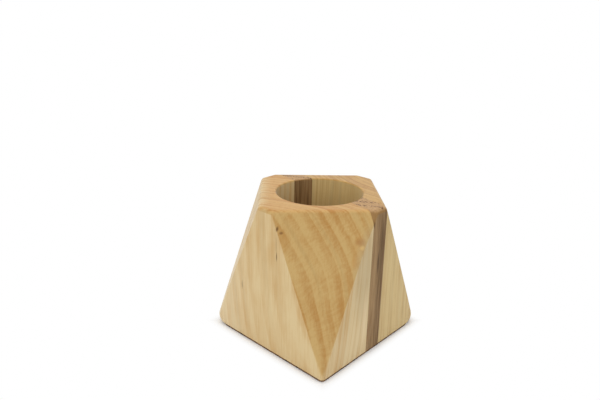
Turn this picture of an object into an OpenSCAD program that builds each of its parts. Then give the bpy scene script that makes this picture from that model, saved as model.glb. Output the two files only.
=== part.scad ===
// Faceted pen cup: two pale boards with a walnut strip glued between them make a square block.
// Four sloping cuts take its corners back towards the top, and a round well is bored down its middle.
// The block stands on a thin cork sheet. Lengths are in millimetres and angles in degrees.
// The origin is the centre of the underside, +Z is up, and the front face looks along -Y.

/* [Block] */
// Side of the square foot
base_side = 80; // [70:1:110]
// Height of the wood above the cork
wood_height = 77.5; // [60:0.5:110]
// Length of each upright face's top edge, between two corner cuts
top_flat = 8.4; // [5:0.2:20]
// Radius of the foot's upright corners
corner_round = 3.2; // [1.5:0.1:6]
// Radius of the same corners at the very bottom, where they roll under
tip_round = 7; // [6:0.1:12]
// Radius of the front left corner, which is sanded less
front_round = 2; // [1.5:0.1:6]
// Radius sanded on the edges around the top
edge_round = 2.5; // [0.5:0.1:4]
// How much further in the front face's left top corner is sanded, which clips the strip
corner_clip = 2.2; // [0.5:0.1:3]
// How far below the top that begins
clip_drop = 16.5; // [8:0.5:25]
// How far the edge of the cut is eased there
clip_ease = 0.3; // [0.2:0.1:1]
// Chamfer along the bottom edges
foot_ease = 0.2; // [0.1:0.1:1]

/* [Walnut strip] */
// Thickness of the strip
strip_thick = 10.6; // [4:0.2:18]
// Where the strip's middle meets the front face, to the right of its centre
strip_shift = -0.3; // [-6:0.1:6]
// Angle at which the strip leans to the right on its way to the back
strip_turn = 9; // [0:0.5:12]
// Glue film between the boards, and between the wood and the cork
glue_line = 0.1; // [0.05:0.05:0.3]

/* [Well] */
// Diameter of the well
well_diameter = 46; // [30:0.5:50]
// Wood left under the well
floor_thick = 15; // [6:0.5:30]
// Radius sanded on the well's rim
rim_ease = 1; // [0.5:0.1:2.5]

/* [Cork sheet] */
// Thickness of the cork
cork_thick = 1; // [0.5:0.1:3]
// How far the cork's edge lies inside the foot
cork_inset = 0.3; // [0.1:0.1:10]
// Radius of the cork's corners, cut back under the wood's
cork_round = 9; // [3:0.5:15]

/* [Hidden] */
$fn = 96;
// Sides on the domes and corner posts that the block is stretched over
round_sides = 32;
// Extra length that carries a cut clear of the wood
overshoot = 5;
half_side = base_side / 2;
well_radius = well_diameter / 2;
// Height of the wood's underside
wood_low = cork_thick + glue_line;
// A corner cut is the plane |x| + |y| + slope * z = base_side, with z counted from the wood's underside
slope = (base_side - top_flat) / 2 / wood_height;
// Length of that plane's normal, which sets a rounded edge back from the sharp one
cut_normal = sqrt(2 + slope * slope);
// Distance of a top corner's dome from the middle of its upright face
top_dome = top_flat / 2 + edge_round * (1 + slope - cut_normal);
// Height at which the clipped corner's edge leaves the line of the others, and the place of its dome there
clip_low = wood_height - clip_drop;
clip_dome = half_side - slope * clip_low - edge_round * (cut_normal - 1);
// Length that spans the block in any direction
span = 2 * base_side + overshoot;
// Faces of the two pale boards, measured from the strip's middle
board_face = strip_thick / 2 + glue_line;
pale_wood = "#cfb184";
walnut = "#8a6b4e";
cork = "#a37b52";

// Dome with points exactly at its crown and around its rim
module dome(radius) {
    rotate_extrude($fn = round_sides)
        intersection() {
            circle(radius, $fn = round_sides);
            square(radius);
        }
}

// Radius of a round at the foot corner on the left or right (x = -1 or 1) and the front or back (y = -1 or 1),
// where the front left one keeps its own
function foot_round(x, y, radius) = x + y < 0 ? front_round : radius;

// Corner of the foot, which rolls under at the bottom and is domed above where it rolls over into its cut
module foot_corner(x, y) {
    upright = foot_round(x, y, corner_round);
    bottom = foot_round(x, y, tip_round);
    rise = upright * (2 - cut_normal) / slope;
    for (lift = [0, 45, 90]) {
        radius = upright + (bottom - upright) * (1 - sin(lift));
        post = half_side - radius;
        translate([x * post, y * post, max(0, rise * (1 - cos(lift)) - foot_ease)])
            cylinder(r1 = radius - foot_ease, r2 = radius, h = foot_ease, $fn = round_sides);
    }
    translate([x * (half_side - upright), y * (half_side - upright), rise])
        dome(upright);
}

// Outside of the whole block, before it is bored or parted into boards
module block_form() {
    hull() {
        for (x = [-1, 1], y = [-1, 1])
            foot_corner(x, y);
        for (face = [0 : 90 : 270], side = [-1, 1]) {
            clip = face == 0 && side < 0 ? corner_clip : 0;
            rotate(face)
                translate([side * (top_dome - clip), edge_round - half_side, wood_height - edge_round])
                    dome(edge_round);
        }
        translate([clip_ease - clip_dome, clip_ease + edge_round - half_side, clip_low])
            dome(edge_round);
    }
}

// Space of the well, with the flare of its sanded rim
module well_space() {
    translate([0, 0, floor_thick])
        cylinder(r = well_radius, h = wood_height - floor_thick + overshoot);
    rotate_extrude()
        difference() {
            translate([well_radius - rim_ease, wood_height - rim_ease])
                square([2 * rim_ease, rim_ease + overshoot]);
            translate([well_radius + rim_ease, wood_height - rim_ease])
                circle(rim_ease);
        }
}

// Upright slice of the block between two planes parallel to the strip's faces
module slice(from, to) {
    translate([strip_shift, -half_side, -overshoot])
        rotate(-strip_turn)
            translate([from, -span / 2, 0])
                cube([to - from, 2 * span, wood_height + 2 * overshoot]);
}

// One board of the block, cut, bored and standing on the cork
module board(from, to) {
    translate([0, 0, wood_low])
        difference() {
            intersection() {
                block_form();
                slice(from, to);
            }
            well_space();
        }
}

// Pale board on the left of the strip
module left_block() {
    color(pale_wood)
        board(-span, -board_face);
}

// Walnut strip through the middle of the block, open where the well passes through it
module walnut_strip() {
    color(walnut)
        board(-strip_thick / 2, strip_thick / 2);
}

// Pale board on the right of the strip
module right_block() {
    color(pale_wood)
        board(board_face, span);
}

// Cork sheet under the foot, set in from its edges
module cork_pad() {
    half_cork = half_side - cork_inset;
    color(cork)
        linear_extrude(cork_thick) {
            difference() {
                square(2 * half_cork, center = true);
                for (x = [-1, 1], y = [-1, 1])
                    translate([x, y] * half_cork)
                        square(2 * foot_round(x, y, cork_round), center = true);
            }
            for (x = [-1, 1], y = [-1, 1])
                translate([x, y] * (half_cork - foot_round(x, y, cork_round)))
                    circle(foot_round(x, y, cork_round));
        }
}

left_block();
walnut_strip();
right_block();
cork_pad();
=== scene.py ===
import math

import bmesh
import bpy
from mathutils import Matrix, Vector, noise


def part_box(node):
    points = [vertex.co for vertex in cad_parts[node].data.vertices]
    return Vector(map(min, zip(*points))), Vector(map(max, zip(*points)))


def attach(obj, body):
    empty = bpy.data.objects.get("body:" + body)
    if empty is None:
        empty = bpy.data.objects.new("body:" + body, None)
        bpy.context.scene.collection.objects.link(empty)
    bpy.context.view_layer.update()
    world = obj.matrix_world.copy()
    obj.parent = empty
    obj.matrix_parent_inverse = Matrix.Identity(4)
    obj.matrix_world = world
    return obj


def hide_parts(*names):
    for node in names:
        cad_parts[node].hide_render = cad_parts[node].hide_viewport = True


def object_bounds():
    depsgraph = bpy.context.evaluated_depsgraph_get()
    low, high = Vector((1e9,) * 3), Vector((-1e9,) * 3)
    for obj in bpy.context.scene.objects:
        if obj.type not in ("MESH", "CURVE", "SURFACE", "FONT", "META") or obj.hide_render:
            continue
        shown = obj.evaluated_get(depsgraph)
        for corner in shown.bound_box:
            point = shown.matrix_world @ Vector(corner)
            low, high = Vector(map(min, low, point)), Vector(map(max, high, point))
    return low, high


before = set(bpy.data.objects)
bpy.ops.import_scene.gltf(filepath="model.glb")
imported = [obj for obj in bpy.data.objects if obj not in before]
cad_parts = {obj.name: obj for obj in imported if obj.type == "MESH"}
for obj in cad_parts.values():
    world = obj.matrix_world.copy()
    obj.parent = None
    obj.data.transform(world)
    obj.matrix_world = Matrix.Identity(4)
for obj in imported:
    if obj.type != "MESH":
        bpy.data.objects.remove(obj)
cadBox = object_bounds()
mm = 0.001  # sizes below are in millimetres, Blender's are in metres
print("frame loaded:", ", ".join(sorted(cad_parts)))

# sizes that the frame already holds
baseSide = (cadBox[1].x - cadBox[0].x) / mm
woodLow, woodHigh = (corner.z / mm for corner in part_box("left_block"))
corkSide = (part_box("cork_pad")[1].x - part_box("cork_pad")[0].x) / mm
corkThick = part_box("cork_pad")[1].z / mm

# kinds of node, and settings of theirs, that the materials use again and again
mathNode = "ShaderNodeMath"
vectorNode = "ShaderNodeVectorMath"
rangeNode = "ShaderNodeMapRange"
noiseNode = "ShaderNodeTexNoise"
mixNode = "ShaderNodeMix"
joinNode = "ShaderNodeCombineXYZ"
partNode = "ShaderNodeSeparateXYZ"
dotProduct = {"output": "Value", "operation": "DOT_PRODUCT"}
smoothly = {"interpolation_type": "SMOOTHSTEP"}  # eases a range in and out
inColour = {"output": 2, "data_type": "RGBA"}  # mixes two colours
noiseSpan = {1: 0.3, 2: 0.7}  # a range's start and end: nearly all of a noise lies between them
noiseMiddle = (0.5, 0.5, 0.5)  # and its colour lies on both sides of this


def linear(hexColour):  # sRGB hex to the linear colour that sockets take
    channels = [int(hexColour[k:k + 2], 16) / 255 for k in (1, 3, 5)]
    return [c / 12.92 if c <= 0.04045 else ((c + 0.055) / 1.055) ** 2.4 for c in channels] + [1.0]


def addNode(tree, kind, inputs, output=0, **settings):  # a number or colour is set, a socket is linked
    node = tree.nodes.new(kind)
    for key, value in settings.items():
        setattr(node, key, value)
    for key, value in inputs.items():
        if isinstance(value, bpy.types.NodeSocket):
            tree.links.new(value, node.inputs[key])
        else:
            node.inputs[key].default_value = value
    return node.outputs[output] if node.outputs else node


def newMaterial(name):
    material = bpy.data.materials.new(name)
    material.use_nodes = True
    material.node_tree.nodes.clear()
    return material, material.node_tree


def newMesh(name, bm):
    mesh = bpy.data.meshes.new(name)
    bm.to_mesh(mesh)
    bm.free()
    return mesh


def newObject(name, data):
    piece = bpy.data.objects.new(name, data)
    bpy.context.scene.collection.objects.link(piece)
    return piece


# The block: a square foot, four sloping corner cuts, every edge sanded round
block = {
    "topFlat": 8.4,  # top edge of each upright face, between two corner cuts
    "cornerRound": 3.6,  # upright corners of the foot
    "cornerTip": 8,  # the same at the very bottom, where they roll under
    "cornerFade": 5,  # height over which sanding rolls a foot corner into its cut
    "frontRound": 2.0,  # the front left corner of the foot was sanded less
    "frontTip": 2.0,
    "frontFade": 6,
    "edgeRound": 2.5,  # edges around the top
    "cutRound": 0.8,  # edges of the corner cuts, crisp along most of their length
    "cutCrisp": (16, 68),  # heights between which they are
    "softInset": 2.2,  # the front face's left top corner was sanded this much further in
    "softCrisp": (16, 61),  # which leaves less of the edge below it crisp
    "footEase": 0.15,  # chamfer along the bottom
    "quarterSteps": 12,  # facets on a quarter circle
    "flatAngle": 0.2,  # degrees between two facets that become one
    "sharpAngle": 28,  # degrees between two faces that aren't shaded as one
    "weld": 0.002,  # distance between two points that become one
}


def levelRing(centre, radius, height):
    x, y = centre
    count = 4 * block["quarterSteps"]
    turns = [k * math.tau / count for k in range(count)]
    return [Vector((x + radius * math.cos(t), y + radius * math.sin(t), height)) for t in turns]


def dome(centre, radius, height, rise):
    points = [Vector((*centre, height + rise))]
    for k in range(block["quarterSteps"]):
        tilt = k * math.pi / 2 / block["quarterSteps"]
        points += levelRing(centre, radius * math.cos(tilt), height + rise * math.sin(tilt))
    return points


def blockPoints():
    half, edge, ease = baseSide / 2, block["edgeRound"], block["footEase"]
    slope = (baseSide - block["topFlat"]) / 2 / (woodHigh - woodLow)  # how fast a corner cut leans in
    cutNormal = math.hypot(1, 1, slope)
    crisp = block["cutRound"]
    points = []
    # the foot's domes and the top's domes all touch the cut |x| + |y| + slope * z = baseSide
    for x, y in ((-1, -1), (-1, 1), (1, -1), (1, 1)):
        kind = "front" if x + y < 0 else "corner"
        foot, tip, fade = (block[kind + size] for size in ("Round", "Tip", "Fade"))
        rise = (2 * foot - math.hypot(foot, foot, slope * fade)) / slope
        points += levelRing((x * (half - tip), y * (half - tip)), tip - ease, woodLow)
        for k in range(block["quarterSteps"] + 1):
            lift = k * math.pi / 2 / block["quarterSteps"]
            radius = foot + (tip - foot) * (1 - math.sin(lift))
            centre = (x * (half - radius), y * (half - radius))
            points += levelRing(centre, radius, woodLow + max(ease, rise * (1 - math.cos(lift))))
        points += dome(centre, foot, woodLow + rise, fade)
    for quarter in range(4):
        turn = Matrix.Rotation(quarter * math.pi / 2, 2)
        for side in (-1, 1):
            soft = quarter == 0 and side < 0
            inset = block["softInset"] if soft else 0
            along = block["topFlat"] / 2 + edge * (1 + slope - cutNormal) - inset
            points += dome(turn @ Vector((side * along, edge - half)), edge, woodHigh - edge, edge)
            for height in block["softCrisp" if soft else "cutCrisp"]:
                out = half - slope * height - crisp * (cutNormal - 1)
                points += dome(turn @ Vector((side * out, crisp - half)), crisp, woodLow + height, crisp)
    return points


def blockMesh():
    bm = bmesh.new()
    for point in blockPoints():
        bm.verts.new(point * mm)
    hull = bmesh.ops.convex_hull(bm, input=bm.verts)
    spare = {v for v in hull["geom_interior"] + hull["geom_unused"] if isinstance(v, bmesh.types.BMVert)}
    bmesh.ops.delete(bm, geom=list(spare), context="VERTS")
    flat = math.radians(block["flatAngle"])
    bmesh.ops.dissolve_limit(bm, angle_limit=flat, verts=bm.verts, edges=bm.edges)
    return newMesh("blockForm", bm)


# The well: bored with a flat bit that leaves a spur hole and a scored ring, rim sanded round
well = {
    "diameter": 46,
    "floorThick": 15,  # wood left under the well
    "rimEase": 1,  # radius sanded on the rim
    "spurWidth": 5,
    "spurDepth": 2,
    "scoreWidth": 0.6,
    "scoreDepth": 0.4,
    "sides": 144,
    "rimSteps": 8,
    "overshoot": 5,  # carries the cut clear of the wood
}


def wellMesh():
    radius, ease = well["diameter"] / 2, well["rimEase"]
    floor = woodLow + well["floorThick"]
    profile = [
        (well["spurWidth"] / 2, floor),
        (radius - well["scoreWidth"], floor),
        (radius, floor - well["scoreDepth"]),
    ]
    for k in range(well["rimSteps"] + 1):
        turn = k * math.pi / 2 / well["rimSteps"]
        profile.append((radius + ease * (1 - math.cos(turn)), woodHigh - ease * (1 - math.sin(turn))))
    profile.append((radius + ease, woodHigh + well["overshoot"]))
    bm = bmesh.new()
    turns = [k * math.tau / well["sides"] for k in range(well["sides"])]
    rings = []
    for r, z in profile:
        rings.append([bm.verts.new(Vector((r * math.cos(t), r * math.sin(t), z)) * mm) for t in turns])
    tip = bm.verts.new(Vector((0, 0, floor - well["spurDepth"])) * mm)
    for k in range(well["sides"]):
        bm.faces.new((tip, rings[0][k], rings[0][k - 1]))
        for low, high in zip(rings, rings[1:]):
            bm.faces.new((low[k - 1], low[k], high[k], high[k - 1]))
    bm.faces.new(rings[-1])
    bmesh.ops.recalc_face_normals(bm, faces=bm.faces)
    return newMesh("wellSpace", bm)


# The boards: the block parted by a walnut strip that leans a little on its way to the back
strip = {
    "thick": 10.6,
    "shift": -0.3,  # where its middle meets the front face
    "turn": 9,  # degrees
    "glueLine": 0.03,  # squeezed out thin
}
stripFace = strip["thick"] / 2
boardFace = stripFace + strip["glueLine"]
reach = 2 * baseSide  # further than the block in any direction


def slabMesh(start, end):
    bm = bmesh.new()
    place = Matrix.Translation(Vector((strip["shift"], -baseSide / 2, 0)) * mm)
    place @= Matrix.Rotation(math.radians(-strip["turn"]), 4, "Z")
    place @= Matrix.Translation(Vector(((start + end) / 2, 0, 0)) * mm)
    place @= Matrix.Diagonal(Vector((end - start, 2 * reach, 2 * reach)) * mm).to_4x4()
    bmesh.ops.create_cube(bm, size=1, matrix=place)
    return newMesh("slab", bm)


def makeBoard(name, start, end):
    board = newObject(name, blockMesh())
    cutters = [newObject("slab", slabMesh(start, end)), newObject("wellSpace", wellMesh())]
    for cutter, operation in zip(cutters, ("INTERSECT", "DIFFERENCE")):
        cut = board.modifiers.new(cutter.name, "BOOLEAN")
        cut.object = cutter
        cut.operation = operation
        cut.solver = "EXACT"
    cutMesh = bpy.data.meshes.new_from_object(board.evaluated_get(bpy.context.evaluated_depsgraph_get()))
    board.modifiers.clear()
    board.data = cutMesh
    for cutter in cutters:
        bpy.data.objects.remove(cutter)
    bm = bmesh.new()
    bm.from_mesh(cutMesh)
    bmesh.ops.remove_doubles(bm, verts=bm.verts, dist=block["weld"] * mm)
    flat = math.radians(block["flatAngle"])
    bmesh.ops.dissolve_limit(bm, angle_limit=flat, verts=bm.verts, edges=bm.edges)
    bm.to_mesh(cutMesh)
    bm.free()
    cutMesh.shade_smooth()
    cutMesh.set_sharp_from_angle(angle=math.radians(block["sharpAngle"]))
    sanded = board.modifiers.new("sandedEdges", "WEIGHTED_NORMAL")
    sanded.keep_sharp = True
    print("board cut:", name, len(cutMesh.polygons), "faces")
    return board


leftBoard = makeBoard("leftBoard", -reach, -boardFace)
walnutStrip = makeBoard("walnutStrip", -stripFace, stripFace)
rightBoard = makeBoard("rightBoard", boardFace, reach)


# The cork: a thin sheet with rounded corners and a crumbly knife-cut edge
cork = {
    "cornerRound": 9,
    "frontRound": 2.0,  # the front left corner follows the wood's
    "granule": 1.6,  # how far apart the crumbs along the edge are
    "crumble": 0.15,  # how deep they bite
    "step": 0.4,  # between points along the edge
    "levels": 5,  # points up the edge
    "sharpAngle": 50,  # degrees between two faces that aren't shaded as one
}


def corkOutline():  # points on the edge, each with the way out of the sheet
    half = corkSide / 2
    radii = (cork["cornerRound"], cork["cornerRound"], cork["frontRound"], cork["cornerRound"])
    outline = []
    for quarter in range(4):
        turn = Matrix.Rotation(quarter * math.pi / 2, 3, "Z")
        radius, after = radii[quarter], radii[(quarter + 1) % 4]
        arcSteps = round(radius * math.pi / 2 / cork["step"])
        for k in range(arcSteps):
            angle = k * math.pi / 2 / arcSteps
            out = Vector((math.cos(angle), math.sin(angle), 0))
            centre = Vector((half - radius, half - radius, 0))
            outline.append((turn @ (centre + radius * out), turn @ out))
        straight = 2 * half - radius - after
        sideSteps = round(straight / cork["step"])
        for k in range(sideSteps):
            point = Vector((half - radius - straight * k / sideSteps, half, 0))
            outline.append((turn @ point, turn @ Vector((0, 1, 0))))
    return outline


def corkMesh():
    outline = corkOutline()
    bm = bmesh.new()
    rings = []
    for level in range(cork["levels"]):
        z = corkThick * level / (cork["levels"] - 1)
        ring = []
        for point, out in outline:
            place = point + Vector((0, 0, z))
            bite = cork["crumble"] * max(0, noise.noise(place / cork["granule"]))
            ring.append(bm.verts.new((place - out * bite) * mm))
        rings.append(ring)
    for low, high in zip(rings, rings[1:]):
        for k in range(len(outline)):
            bm.faces.new((low[k - 1], low[k], high[k], high[k - 1]))
    bm.faces.new(reversed(rings[0]))
    bm.faces.new(rings[-1])
    bmesh.ops.recalc_face_normals(bm, faces=bm.faces)
    mesh = newMesh("corkPad", bm)
    mesh.shade_smooth()
    mesh.set_sharp_from_angle(angle=math.radians(cork["sharpAngle"]))
    return mesh


corkPad = newObject("corkPad", corkMesh())
print("cork cut:", len(corkPad.data.polygons), "faces")

# What both woods need: how their fibres run, and small marks
markCore = 0.2  # share of a mark's half sizes over which it has its full colour


def wanderingPlace(tree, place, size, wander):  # the place, shifted as the fibres stray from upright
    slow = addNode(tree, vectorNode, {0: place, 1: size}, operation="DIVIDE")
    stray = addNode(tree, noiseNode, {"Vector": slow, "Scale": 1, "Detail": 3}, output="Color")
    stray = addNode(tree, vectorNode, {0: stray, 1: noiseMiddle}, operation="SUBTRACT")
    width = (2 * wander, 2 * wander, 0)
    return addNode(tree, vectorNode, {0: stray, 1: width, 2: place}, operation="MULTIPLY_ADD")


def fibreEnds(tree, normal):  # 0 on a face along the fibres, 1 on end grain
    facing = addNode(tree, vectorNode, {0: normal, 1: (0, 0, 1)}, **dotProduct)
    return addNode(tree, mathNode, {0: facing}, operation="ABSOLUTE")


def softSpot(tree, place, spot, size, core, amount):  # all of it in the core, none at the half sizes
    offset = addNode(tree, vectorNode, {0: place, 1: spot}, operation="SUBTRACT")
    offset = addNode(tree, vectorNode, {0: offset, 1: size}, operation="DIVIDE")
    away = addNode(tree, vectorNode, {0: offset}, output="Value", operation="LENGTH")
    return addNode(tree, rangeNode, {0: away, 1: core, 2: 1.0, 3: amount, 4: 0.0}, **smoothly)


def addMarks(tree, place, colour, marks):  # soft-edged spots laid over a colour
    for spot, size, tint, share in marks:
        stain = softSpot(tree, place, spot, size, markCore, share)
        colour = addNode(tree, mixNode, {0: stain, 6: colour, 7: linear(tint)}, **inColour)
    return colour


# Poplar, planed, sanded and oiled: pale straw side grain with soft year bands that end in a thin pale line,
# a satin skin without gloss, and end grain that drinks the oil and turns a deeper orange
poplarLeft = {
    "early": "#d4bc8c",
    "late": "#bf975a",
    "mineral": "#a3946e",  # greenish grey streaks
    "slantGrain": "#e8d9b8",  # multiplies the side grain's colour on the corner cuts
    "endGrain": "#eed3a8",  # and on the top
    "pith": (-131.4, -42.5),  # where the tree's middle lay, in plan
    "lean": (0.05, 0.023),  # how the middle drifts with height
    "bow": (-2.2, 1.6),  # and how far it bends off a straight line at the foot and the top
    "knots": (  # place, half sizes and how far it pushes the years out
        ((-22, -30, 51), (20, 26, 26), 2.0),
    ),
    "wander": 1.2,  # how far the grain strays
    "firstYear": 92,  # distance from the pith at which a year ends
    "yearWidth": 4.23,
    "yearContrast": 0.6,
    "lineContrast": 0.45,
    "cloudContrast": 0.22,
    "rippleContrast": 0.14,
    "paleBands": (  # distance from the pith, half width and how much paler the wood is there
        (120, 6, 0.15),
    ),
    "mineralShare": 0.15,
    "drySide": (25, 33),  # from the middle towards the left rear corner, where the grain took less oil
    "marks": (  # place, half sizes, colour and share of bark flecks, stains and broad areas that are paler
        ((-39, -12, 66), (4, 4, 8), "#b58a4a", 0.35),
        ((-40, -8.4, 70.4), (2, 0.8, 1.9), "#6e4c1e", 1.0),
        ((-38.7, -10.2, 68.5), (2, 1.1, 1.0), "#805a29", 0.9),
        ((-40, -8.2, 62), (1, 0.6, 7), "#a58756", 0.6),
        ((-40, -8.5, 56), (1, 0.55, 3.4), "#7d6234", 1.0),
        ((-40, 17.3, 31.5), (1, 0.5, 3.6), "#7f6d48", 0.9),
        ((-15, -39, 66), (7, 4, 16), "#c59a58", 0.35),
        ((-13.5, -38.3, 64.6), (4.5, 3.5, 2.4), "#a3733a", 0.75),
        ((-12.8, -39.2, 61.8), (1.8, 1.7, 1.6), "#ddb468", 0.75),
        ((-17, -38, 55), (2, 2, 6), "#b78540", 0.55),
        ((-11, -40, 49), (11, 4, 38), "#b09c74", 0.45),
        ((-8.5, -40, 22), (3, 2, 22), "#e2cba0", 0.5),
        ((-18, -40, 10), (24, 3, 20), "#e8d4a8", 0.25),
        # this broad pale patch on the left rear cut is partly paler wood and partly painted sheen from
        # grazing light
        ((-44, 44, 30), (40, 40, 110), "#f0e2c4", 0.22),
    ),
}
poplarRight = {
    "early": "#cfb57c",
    "late": "#b59156",
    "mineral": "#a3946e",
    "slantGrain": "#e8d9b8",
    "endGrain": "#ecd6b4",
    "pith": (110, -30),
    "lean": (0.01, 0.02),
    "bow": (1, 0),
    "knots": (),
    "wander": 1.6,
    "firstYear": 60,
    "yearWidth": 4.2,
    "yearContrast": 0.35,
    "lineContrast": 0.45,
    "cloudContrast": 0.1,
    "rippleContrast": 0.15,
    "paleBands": (),
    "mineralShare": 0.2,
    "drySide": (60, 70),
    "marks": (),
}
# What both boards share. In a span, 1 and 2 are where it starts and ends, and 3 and 4 what it gives there.
# The lines' and streaks' sizes are along the radius, around it and up the fibres.
poplar = {
    "straySize": (40, 40, 120),  # over which the fibres wander
    "oilSpan": {1: 0.05, 2: 0.28},  # how far a face turns to the fibres' ends, from dry to full of oil
    "topSpan": {1: 0.4, 2: 1.0},  # and from the corner cuts to the top
    "riseSpan": {1: 0.1, 2: 0.85},  # part of a year in which the wood darkens
    "fallSpan": {1: 0.87, 2: 0.99, 3: 1.0, 4: 0.0},  # and in which it turns pale again at once
    "weakYear": 0.8,  # contrast of the weakest year, as a share of the strongest one's
    "sideYears": {3: 0.7, 4: 1.0},  # years are clearer where oil was drunk
    "cloudYears": {1: 0.35, 2: 0.6, 3: 0.6, 4: 1.0},  # and come and go with the clouds
    "cloudSize": (12, 12, 22),  # soft clouds
    "lineSize": (1.2, 60, 140),  # lines within a year
    "lineBlur": {1: 0.5, 2: 0.85, 3: 1.0, 4: 0.17},  # sharp on a face along the radius, blurred across it
    "topLines": {3: 1.0, 4: 1.7},  # and clearest on the top's end grain
    "rippleSize": (6, 6, 1),  # a sanding belt's ripple, 1 mm from crest to crest
    "rippleWay": (-0.4, 0.4, 1),  # in which the crests climb
    "rippleSwirl": 12.0,  # how far the clouds push them
    "fibreSize": (0.8, 0.8, 18),  # fibres are 0.05 mm across, drawn coarser so that they show
    "fibreTone": {3: 0.0, 4: 0.36},
    "streakSize": (2, 50, 120),  # mineral streaks
    "streakSpan": {1: 0.5, 2: 0.72},
    "roughness": {3: 0.45, 4: 0.57},
    "bump": {"Strength": 0.2, "Distance": 0.05 * mm},
    "skin": {"IOR": 1.5, "Specular IOR Level": 0.35, "Sheen Weight": 0.1},  # dry, with a faint bloom
}


def poplarGrowth(tree, place, look):  # where each point of the board lay in the tree
    bent = wanderingPlace(tree, place, poplar["straySize"], look["wander"])
    sideways, height = (addNode(tree, partNode, {0: bent}, output=axis) for axis in "YZ")
    # in plan, with the pith's lean and bow taken out
    rows = ((1, 0, -look["lean"][0]), (0, 1, -look["lean"][1]))
    across = [addNode(tree, vectorNode, {0: bent, 1: row}, **dotProduct) for row in rows]
    plan = addNode(tree, joinNode, {0: across[0], 1: across[1]})
    half = (woodHigh - woodLow) / 2
    bow = {0: height, 1: 1 / half, 2: -1 - woodLow / half}
    bow = addNode(tree, mathNode, bow, operation="MULTIPLY_ADD")
    bow = addNode(tree, mathNode, {0: bow, 1: bow}, operation="MULTIPLY")
    bend = (-look["bow"][0], -look["bow"][1], 0)
    plan = addNode(tree, vectorNode, {0: bow, 1: bend, 2: plan}, operation="MULTIPLY_ADD")
    pith = (*look["pith"], 0)
    radius = addNode(tree, vectorNode, {0: plan, 1: pith}, output="Value", operation="DISTANCE")
    for spot, size, push in look["knots"]:
        bulge = softSpot(tree, place, spot, size, 0.0, push)
        radius = addNode(tree, mathNode, {0: radius, 1: bulge}, operation="SUBTRACT")
    outward = addNode(tree, vectorNode, {0: plan, 1: pith}, operation="SUBTRACT")
    outward = addNode(tree, vectorNode, {0: outward}, operation="NORMALIZE")
    layers = addNode(tree, joinNode, {0: radius, 1: sideways, 2: height})
    return {"bent": bent, "sideways": sideways, "radius": radius, "outward": outward, "layers": layers}


def yearTone(tree, look, growth, thirst, cloud):  # a slow darkening through each year
    pace = {0: growth["radius"], 1: 1 / look["yearWidth"], 2: -look["firstYear"] / look["yearWidth"]}
    years = addNode(tree, mathNode, pace, operation="MULTIPLY_ADD")
    season = addNode(tree, mathNode, {0: years}, operation="FRACT")
    year = addNode(tree, mathNode, {0: years}, operation="FLOOR")
    tone = addNode(tree, rangeNode, {0: season, **poplar["riseSpan"]}, **smoothly)
    fall = addNode(tree, rangeNode, {0: season, **poplar["fallSpan"]}, **smoothly)
    vigour = addNode(tree, "ShaderNodeTexWhiteNoise", {"W": year}, noise_dimensions="1D")
    contrasts = {3: poplar["weakYear"] * look["yearContrast"], 4: look["yearContrast"]}
    strength = addNode(tree, rangeNode, {0: vigour, **contrasts})
    clearer = addNode(tree, rangeNode, {0: thirst, **poplar["sideYears"]})
    show = addNode(tree, rangeNode, {0: cloud, **poplar["cloudYears"]})
    for share in (fall, strength, clearer, show):
        tone = addNode(tree, mathNode, {0: tone, 1: share}, operation="MULTIPLY")
    return tone


def lineTone(tree, look, growth, normal, top):  # fine lines within the years
    fine = addNode(tree, vectorNode, {0: growth["layers"], 1: poplar["lineSize"]}, operation="DIVIDE")
    fine = addNode(tree, noiseNode, {"Vector": fine, "Scale": 1, "Detail": 2})
    contrast = look["lineContrast"]
    lines = addNode(tree, rangeNode, {0: fine, **noiseSpan, 3: -contrast, 4: contrast})
    for middle, width, share in look["paleBands"]:
        off = addNode(tree, mathNode, {0: growth["radius"], 1: middle}, operation="SUBTRACT")
        off = addNode(tree, mathNode, {0: off}, operation="ABSOLUTE")
        pale = addNode(tree, rangeNode, {0: off, 1: 0.0, 2: width, 3: share, 4: 0.0}, **smoothly)
        lines = addNode(tree, mathNode, {0: lines, 1: pale}, operation="SUBTRACT")
    crossing = addNode(tree, vectorNode, {0: growth["outward"], 1: normal}, **dotProduct)
    crossing = addNode(tree, mathNode, {0: crossing}, operation="ABSOLUTE")
    sharp = addNode(tree, rangeNode, {0: crossing, **poplar["lineBlur"]}, **smoothly)
    clearest = addNode(tree, rangeNode, {0: top, **poplar["topLines"]})
    for share in (sharp, clearest):
        lines = addNode(tree, mathNode, {0: lines, 1: share}, operation="MULTIPLY")
    return lines


def rippleTone(tree, look, growth, place, thirst, cloud):  # swirls through the clouds, on slanting grain
    climb = addNode(tree, vectorNode, {0: place, 1: poplar["rippleWay"]}, **dotProduct)
    swirl = {0: cloud, 1: poplar["rippleSwirl"], 2: climb}
    climb = addNode(tree, mathNode, swirl, operation="MULTIPLY_ADD")
    ripple = addNode(tree, joinNode, {0: growth["radius"], 1: growth["sideways"], 2: climb})
    ripple = addNode(tree, vectorNode, {0: ripple, 1: poplar["rippleSize"]}, operation="DIVIDE")
    ripple = addNode(tree, noiseNode, {"Vector": ripple, "Scale": 1, "Detail": 1})
    contrast = look["rippleContrast"]
    ripple = addNode(tree, rangeNode, {0: ripple, **noiseSpan, 3: -contrast, 4: contrast})
    return addNode(tree, mathNode, {0: ripple, 1: thirst}, operation="MULTIPLY")


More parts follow.
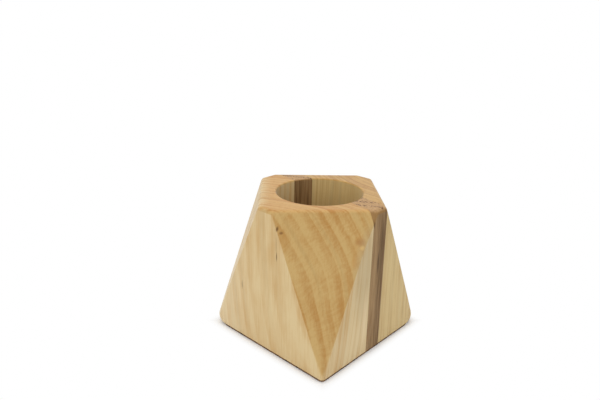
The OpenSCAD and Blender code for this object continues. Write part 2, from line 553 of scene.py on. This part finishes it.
def oilPoplar(tree, look, place, thirst, top, colour):  # slanting and end grain drink oil and turn deeper
    corner = (-math.sqrt(0.5), math.sqrt(0.5), 0)  # the way to the left rear corner, which took less of it
    rear = addNode(tree, vectorNode, {0: place, 1: corner}, **dotProduct)
    near, far = look["drySide"]
    wet = addNode(tree, rangeNode, {0: rear, 1: near, 2: far, 3: 1.0, 4: 0.0}, **smoothly)
    thirst = addNode(tree, mathNode, {0: thirst, 1: wet}, operation="MULTIPLY")
    oils = {6: linear(look["slantGrain"]), 7: linear(look["endGrain"])}
    oil = addNode(tree, mixNode, {0: top, **oils}, **inColour)
    return addNode(tree, mixNode, {0: thirst, 6: colour, 7: oil}, blend_type="MULTIPLY", **inColour)


def sandedPoplar(name, look):
    material, tree = newMaterial(name)
    coords = tree.nodes.new("ShaderNodeTexCoord")
    normal = coords.outputs["Normal"]
    place = addNode(tree, vectorNode, {0: coords.outputs["Object"], "Scale": 1 / mm}, operation="SCALE")
    growth = poplarGrowth(tree, place, look)
    ends = fibreEnds(tree, normal)
    thirst = addNode(tree, rangeNode, {0: ends, **poplar["oilSpan"]}, **smoothly)
    top = addNode(tree, rangeNode, {0: ends, **poplar["topSpan"]}, **smoothly)
    cloud = addNode(tree, vectorNode, {0: place, 1: poplar["cloudSize"]}, operation="DIVIDE")
    cloud = addNode(tree, noiseNode, {"Vector": cloud, "Scale": 1, "Detail": 3})
    contrast = look["cloudContrast"]
    cloudTone = addNode(tree, rangeNode, {0: cloud, **noiseSpan, 3: -contrast, 4: contrast})
    fibre = addNode(tree, vectorNode, {0: growth["bent"], 1: poplar["fibreSize"]}, operation="DIVIDE")
    fibre = addNode(tree, noiseNode, {"Vector": fibre, "Scale": 1, "Detail": 3})
    fibreTone = addNode(tree, rangeNode, {0: fibre, **noiseSpan, **poplar["fibreTone"]})
    # from 0 for early wood to 1 for late wood
    tone = yearTone(tree, look, growth, thirst, cloud)
    lines = lineTone(tree, look, growth, normal, top)
    ripple = rippleTone(tree, look, growth, place, thirst, cloud)
    for part in (cloudTone, lines, ripple):
        tone = addNode(tree, mathNode, {0: tone, 1: part}, operation="ADD")
    tone = addNode(tree, mathNode, {0: tone, 1: fibreTone}, operation="ADD", use_clamp=True)
    woods = {6: linear(look["early"]), 7: linear(look["late"])}
    colour = addNode(tree, mixNode, {0: tone, **woods}, **inColour)
    # mineral streaks follow the years
    streak = addNode(tree, vectorNode, {0: growth["layers"], 1: poplar["streakSize"]}, operation="DIVIDE")
    streak = addNode(tree, noiseNode, {"Vector": streak, "Scale": 1, "Detail": 2})
    streak = {0: streak, **poplar["streakSpan"], 3: 0.0, 4: look["mineralShare"]}
    streak = addNode(tree, rangeNode, streak, **smoothly)
    colour = addNode(tree, mixNode, {0: streak, 6: colour, 7: linear(look["mineral"])}, **inColour)
    colour = oilPoplar(tree, look, place, thirst, top, colour)
    colour = addMarks(tree, place, colour, look["marks"])
    rough = addNode(tree, rangeNode, {0: fibre, **noiseSpan, **poplar["roughness"]})
    bump = addNode(tree, "ShaderNodeBump", {"Height": fibre, **poplar["bump"]})
    skin = {"Base Color": colour, "Roughness": rough, "Normal": bump, **poplar["skin"]}
    shader = addNode(tree, "ShaderNodeBsdfPrincipled", skin)
    addNode(tree, "ShaderNodeOutputMaterial", {"Surface": shader})
    return material


leftBoard.data.materials.append(sandedPoplar("poplarSandedLeft", poplarLeft))
rightBoard.data.materials.append(sandedPoplar("poplarSandedRight", poplarRight))

# Walnut, sanded and oiled: brown with a darker heart, open pores that show as dark dashes along the face
# and as rows of dots on the end grain, whose top is coloured paler as a painted highlight for the light and
# sheen from above. Its spans read as the poplar's do.
walnut = {
    "light": "#a1825a",
    "dark": "#6a4e2c",
    "pore": "#4f2e15",
    "slantGrain": "#96703f",  # where a corner cut clips the strip and drank oil
    "slantSpan": {1: 0.1, 2: 0.28, 3: 0.0, 4: 0.7},
    "endGrain": "#c09a6d",  # on the top, paler than the face: painted highlight for the top light and sheen
    "endSpan": {1: 0.4, 2: 0.95, 3: 0.0, 4: 0.85},
    "straySize": (14, 14, 90),  # over which the fibres wander
    "wander": 1,  # and how far
    "outward": (0.86, 0.5, 0.004),  # how the years grow, across the strip and a little along the fibres
    "heartSpan": {1: -22, 2: -18.5, 3: 0.15, 4: 0.5},  # where the light wood turns into the dark, that way
    "bandSize": (1.5, 1.5, 30),  # soft streaks
    "bandTone": {3: -0.35, 4: 0.35},
    "fibreSize": (0.7, 0.7, 16),  # fibres are 0.05 mm across, drawn coarser so that they show
    "fibreTone": {3: -0.2, 4: 0.2},
    "yearWidth": 5.6,
    "yearStart": -16.6,  # each year starts with a row of pores
    "poreSize": (1.1, 1.1, 22),  # how far apart the pores are
    "poreSpan": {1: 0.25, 2: 0.68},  # pores are 0.2 mm across, drawn about 0.5 mm so that they show
    "poreEnds": {1: 0.45, 2: 0.9, 3: 0.35, 4: 1.0},  # faint along a face, dark on end grain
    "poreRow": {1: 0.2, 2: 0.8, 3: 0.25, 4: 1.0},  # faint between the rows
    "poreHeart": {1: 0.15, 2: 0.5, 3: 0.25, 4: 1.0},  # and in the light wood
    "roughness": {3: 0.45, 4: 0.57},
    "bump": {"Strength": 0.1, "Distance": -0.05 * mm},  # pores are hollow
    "skin": {"IOR": 1.5, "Specular IOR Level": 0.15},
    "marks": (  # place, half sizes, colour and share of the streaks on the front face
        ((2.6, -40, 57), (3.6, 5, 28), "#5c4325", 0.6),
        ((0.1, -40, 50), (1.1, 3, 9), "#40290f", 0.7),
        ((2.4, -40, 64), (1.2, 3, 12), "#4f391e", 0.3),
        ((4, -40, 38), (1.0, 3, 12), "#553c20", 0.35),
        ((-5.2, -39.8, 72), (0.9, 1.5, 2.8), "#57391a", 0.7),
        ((-5.0, -40, 12), (1.5, 3, 10), "#7d5633", 0.4),
        ((-2.5, -40, 20), (1.5, 3, 9), "#7a5834", 0.4),
    ),
}


def walnutPores(tree, look, bent, years, heart, ends):  # 1 in the middle of a pore
    pores = addNode(tree, vectorNode, {0: bent, 1: look["poreSize"]}, operation="DIVIDE")
    pores = addNode(tree, "ShaderNodeTexVoronoi", {"Vector": pores, "Scale": 1}, output="Distance")
    depth = addNode(tree, rangeNode, {0: ends, **look["poreEnds"]})
    pores = addNode(tree, rangeNode, {0: pores, **look["poreSpan"], 3: depth, 4: 0.0}, **smoothly)
    season = addNode(tree, mathNode, {0: years, 1: look["yearStart"]}, operation="SUBTRACT")
    season = addNode(tree, mathNode, {0: season, 1: math.tau / look["yearWidth"]}, operation="MULTIPLY")
    row = addNode(tree, mathNode, {0: season}, operation="COSINE")
    row = addNode(tree, rangeNode, {0: row, **look["poreRow"]}, **smoothly)
    fewer = addNode(tree, rangeNode, {0: heart, **look["poreHeart"]})
    for share in (row, fewer):
        pores = addNode(tree, mathNode, {0: pores, 1: share}, operation="MULTIPLY")
    return pores


def oiledWalnut(name, look):
    material, tree = newMaterial(name)
    coords = tree.nodes.new("ShaderNodeTexCoord")
    place = addNode(tree, vectorNode, {0: coords.outputs["Object"], "Scale": 1 / mm}, operation="SCALE")
    bent = wanderingPlace(tree, place, look["straySize"], look["wander"])
    years = addNode(tree, vectorNode, {0: bent, 1: look["outward"]}, **dotProduct)
    heart = addNode(tree, rangeNode, {0: years, **look["heartSpan"]}, **smoothly)
    bands = addNode(tree, vectorNode, {0: bent, 1: look["bandSize"]}, operation="DIVIDE")
    bands = addNode(tree, noiseNode, {"Vector": bands, "Scale": 1, "Detail": 2})
    bands = addNode(tree, rangeNode, {0: bands, **noiseSpan, **look["bandTone"]})
    fibre = addNode(tree, vectorNode, {0: bent, 1: look["fibreSize"]}, operation="DIVIDE")
    fibre = addNode(tree, noiseNode, {"Vector": fibre, "Scale": 1, "Detail": 3})
    fibreTone = addNode(tree, rangeNode, {0: fibre, **noiseSpan, **look["fibreTone"]})
    # from 0 for light wood to 1 for dark wood
    tone = addNode(tree, mathNode, {0: heart, 1: bands}, operation="ADD")
    tone = addNode(tree, mathNode, {0: tone, 1: fibreTone}, operation="ADD", use_clamp=True)
    woods = {6: linear(look["light"]), 7: linear(look["dark"])}
    colour = addNode(tree, mixNode, {0: tone, **woods}, **inColour)
    colour = addMarks(tree, place, colour, look["marks"])
    ends = fibreEnds(tree, coords.outputs["Normal"])
    for grain in ("slant", "end"):
        turned = addNode(tree, rangeNode, {0: ends, **look[grain + "Span"]}, **smoothly)
        tint = linear(look[grain + "Grain"])
        colour = addNode(tree, mixNode, {0: turned, 6: colour, 7: tint}, **inColour)
    pores = walnutPores(tree, look, bent, years, heart, ends)
    colour = addNode(tree, mixNode, {0: pores, 6: colour, 7: linear(look["pore"])}, **inColour)
    rough = addNode(tree, rangeNode, {0: fibre, **noiseSpan, **look["roughness"]})
    bump = addNode(tree, "ShaderNodeBump", {"Height": pores, **look["bump"]})
    skin = {"Base Color": colour, "Roughness": rough, "Normal": bump, **look["skin"]}
    shader = addNode(tree, "ShaderNodeBsdfPrincipled", skin)
    addNode(tree, "ShaderNodeOutputMaterial", {"Surface": shader})
    return material


walnutStrip.data.materials.append(oiledWalnut("walnutOiled", walnut))

# Cork, ground, pressed and sliced: brown granules with darker bark specks, matt and faintly pitted,
# coloured dark as painted shade so that the pad's edge draws the shadow line under the foot
corkShadedLook = {
    # pale and deep are darkened below cork's own tan: painted shade for the shadow line under the foot
    "pale": "#7d5c3c",
    "deep": "#5f432a",
    "bark": "#38271a",
    "granule": 1.8,
    "speckSpan": {1: 0.86, 2: 0.9},  # the granules beyond it are bark
    "seamSpan": {1: 0.0, 2: 0.08, 3: 0.5, 4: 0.0},  # from a seam between granules, dark, to beside it
    "bump": {"Strength": 0.5, "Distance": 0.2 * mm},
    "skin": {"Roughness": 0.85, "IOR": 1.45},
}


def slicedCork(name, look):
    material, tree = newMaterial(name)
    coords = tree.nodes.new("ShaderNodeTexCoord")
    cells = {"Vector": coords.outputs["Object"], "Scale": 1 / (look["granule"] * mm)}
    shade = addNode(tree, "ShaderNodeTexVoronoi", cells, output="Color")
    seam = addNode(tree, "ShaderNodeTexVoronoi", cells, output="Distance", feature="DISTANCE_TO_EDGE")
    mottle = addNode(tree, "ShaderNodeSeparateColor", {0: shade})
    granules = {6: linear(look["pale"]), 7: linear(look["deep"])}
    colour = addNode(tree, mixNode, {0: mottle, **granules}, **inColour)
    speck = addNode(tree, rangeNode, {0: mottle, **look["speckSpan"]})
    edge = addNode(tree, rangeNode, {0: seam, **look["seamSpan"]})
    for dark in (speck, edge):
        colour = addNode(tree, mixNode, {0: dark, 6: colour, 7: linear(look["bark"])}, **inColour)
    bump = addNode(tree, "ShaderNodeBump", {"Height": seam, **look["bump"]})
    skin = {"Base Color": colour, "Normal": bump, **look["skin"]}
    shader = addNode(tree, "ShaderNodeBsdfPrincipled", skin)
    addNode(tree, "ShaderNodeOutputMaterial", {"Surface": shader})
    return material


corkPad.data.materials.append(slicedCork("corkSlicedShadedDark", corkShadedLook))
print("materials made")

for piece, node, slot in (
    (leftBoard, "left_block", "pale_wood"),
    (walnutStrip, "walnut_strip", "walnut"),
    (rightBoard, "right_block", "pale_wood"),
    (corkPad, "cork_pad", "cork"),
):
    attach(piece, "root")
    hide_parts(node)

# Studio: a white sweep under soft light from all round, a little more from above and from the left
studio = {
    "floorSide": 6000,
    "floorDrop": 0.02,  # keeps the floor clear of the cork
    "floorPale": "#f4f4f4",
    "shadowStart": 0.5,  # from the foot's edge to where its soft shadow begins to fade
    "shadowReach": 5.5,  # and to where it has faded into plain white
    "shadowCurve": 2.0,  # above 1 it fades faster at first
    "world": 0.72,
    "lamps": (
        {"name": "overhead", "at": (120, 60, 900), "size": 900, "watts": 3.1},
        {"name": "leftPanel", "at": (-900, -100, 500), "size": 800, "watts": 2.1},
        {"name": "frontPanel", "at": (-300, -900, 400), "size": 800, "watts": 0.25},
    ),
}
pureWhite = (1, 1, 1, 1)


def lookedAt(tree):  # 1 for what the camera, a reflection or a see-through surface meets first
    path = tree.nodes.new("ShaderNodeLightPath")
    kinds = [path.outputs[name] for name in ("Is Camera Ray", "Is Glossy Ray", "Is Transmission Ray")]
    seen = addNode(tree, mathNode, {0: kinds[0], 1: kinds[1]}, operation="MAXIMUM")
    return addNode(tree, mathNode, {0: seen, 1: kinds[2]}, operation="MAXIMUM")


def whitePaper():  # matt paper that shows the shadow beside the foot and plain white further out
    material, tree = newMaterial("whitePaper")
    paper = addNode(tree, "ShaderNodeBsdfDiffuse", {"Color": linear(studio["floorPale"])})
    white = addNode(tree, "ShaderNodeEmission", {"Color": pureWhite, "Strength": 1})
    # distance outside the foot's edge, in millimetres
    coords = tree.nodes.new("ShaderNodeTexCoord")
    outward = addNode(tree, vectorNode, {0: coords.outputs["Object"]}, operation="ABSOLUTE")
    sides = [addNode(tree, partNode, {0: outward}, output=axis) for axis in "XY"]
    outward = addNode(tree, mathNode, {0: sides[0], 1: sides[1]}, operation="MAXIMUM")
    outward = addNode(tree, mathNode, {0: outward, 1: 1 / mm, 2: -baseSide / 2}, operation="MULTIPLY_ADD")
    fade = {1: studio["shadowStart"], 2: studio["shadowReach"], 3: 1.0, 4: 0.0}
    shade = addNode(tree, rangeNode, {0: outward, **fade})
    shade = addNode(tree, mathNode, {0: shade, 1: studio["shadowCurve"]}, operation="POWER")
    plain = addNode(tree, mathNode, {0: 1.0, 1: shade}, operation="SUBTRACT")
    share = addNode(tree, mathNode, {0: lookedAt(tree), 1: plain}, operation="MULTIPLY")
    surface = addNode(tree, "ShaderNodeMixShader", {0: share, 1: paper, 2: white})
    addNode(tree, "ShaderNodeOutputMaterial", {"Surface": surface})
    return material


def makeFloor():
    bm = bmesh.new()
    bmesh.ops.create_grid(bm, x_segments=1, y_segments=1, size=studio["floorSide"] / 2 * mm)
    bmesh.ops.translate(bm, verts=bm.verts, vec=(0, 0, -studio["floorDrop"] * mm))
    floor = newObject("floor", newMesh("floor", bm))
    floor.data.materials.append(whitePaper())


def makeWorld():
    world = bpy.data.worlds.new("softTent")
    world.use_nodes = True
    tree = world.node_tree
    tree.nodes.clear()
    strength = addNode(tree, rangeNode, {0: lookedAt(tree), 3: studio["world"], 4: 1.0})
    tent = addNode(tree, "ShaderNodeBackground", {"Color": pureWhite, "Strength": strength})
    addNode(tree, "ShaderNodeOutputWorld", {"Surface": tent})
    bpy.context.scene.world = world


def makeLamp(lamp):
    light = bpy.data.lights.new(lamp["name"], "AREA")
    light.size = lamp["size"] * mm
    light.energy = lamp["watts"]
    holder = newObject(lamp["name"], light)
    holder.location = Vector(lamp["at"]) * mm
    holder.rotation_euler = (-holder.location).to_track_quat("-Z", "Y").to_euler()
    holder.visible_camera = False


makeFloor()
makeWorld()
for lamp in studio["lamps"]:
    makeLamp(lamp)
print("studio lit")

# Camera: the photograph's place and angle, worked out from the block's edges
camera = {
    "eye": (-205.19, -177.05, 166.12),
    "heading": 47.039,  # degrees from +Y towards +X
    "pitch": 18.929,  # degrees down
    "roll": 1.103,  # degrees
    "lens": 32.19,
    "sensor": 36,
}


def makeCamera():
    heading, pitch, roll = (math.radians(camera[key]) for key in ("heading", "pitch", "roll"))
    level = math.cos(pitch)
    ahead = Vector((math.sin(heading) * level, math.cos(heading) * level, -math.sin(pitch)))
    side = Vector((math.cos(heading), -math.sin(heading), 0))
    upright = side.cross(ahead)
    right = math.cos(roll) * side + math.sin(roll) * upright
    up = math.cos(roll) * upright - math.sin(roll) * side
    lens = bpy.data.cameras.new("photoCamera")
    lens.lens = camera["lens"]
    lens.sensor_width = camera["sensor"]
    holder = newObject("photoCamera", lens)
    place = Matrix((right, up, -ahead)).transposed().to_4x4()
    place.translation = Vector(camera["eye"]) * mm
    holder.matrix_world = place
    bpy.context.scene.camera = holder


makeCamera()
bpy.context.scene.view_settings.view_transform = "Standard"
print("camera placed")
